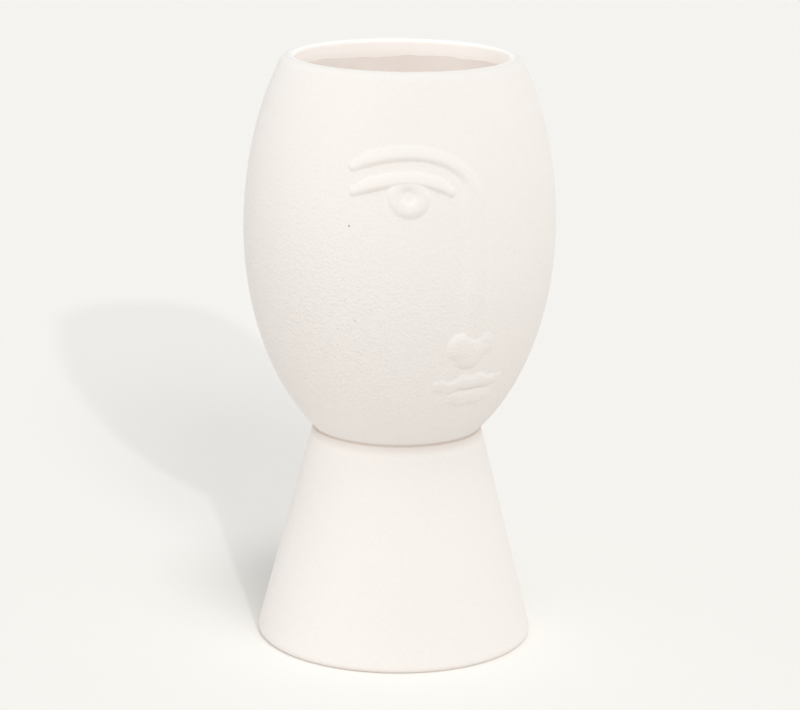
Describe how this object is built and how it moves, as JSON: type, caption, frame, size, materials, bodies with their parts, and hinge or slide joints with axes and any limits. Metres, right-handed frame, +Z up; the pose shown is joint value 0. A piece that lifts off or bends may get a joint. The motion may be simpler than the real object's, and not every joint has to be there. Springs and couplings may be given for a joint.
{
  "type": "face vase",
  "caption": "Matte sandy-white ceramic vase: an egg-shaped head, open at the crown and set on a conical foot, with an abstract line face laid on in low relief.",
  "frame": {"origin": "on the table plane under the vase's axis, at the centre of the foot", "axes": "+Z up along the vase's axis; the face looks along -Y, with its one eye towards -X"},
  "size_m": [0.136, 0.1383, 0.26],
  "materials": {
    "coated_ceramic": "matte sandy coat",
    "inner_glaze": "satin glaze",
    "joining_slip": "matte"
  },
  "bodies": {
    "root": {"head_vessel": "coated_ceramic", "inner_glaze": "inner_glaze", "foot_cone": "coated_ceramic", "neck_slip": "joining_slip", "brow_and_nose_line": "coated_ceramic", "eyelid": "coated_ceramic", "eye_ring": "coated_ceramic", "nose_tip": "coated_ceramic", "upper_lip": "coated_ceramic", "lower_lip": "coated_ceramic"}
  },
  "joints": []
}
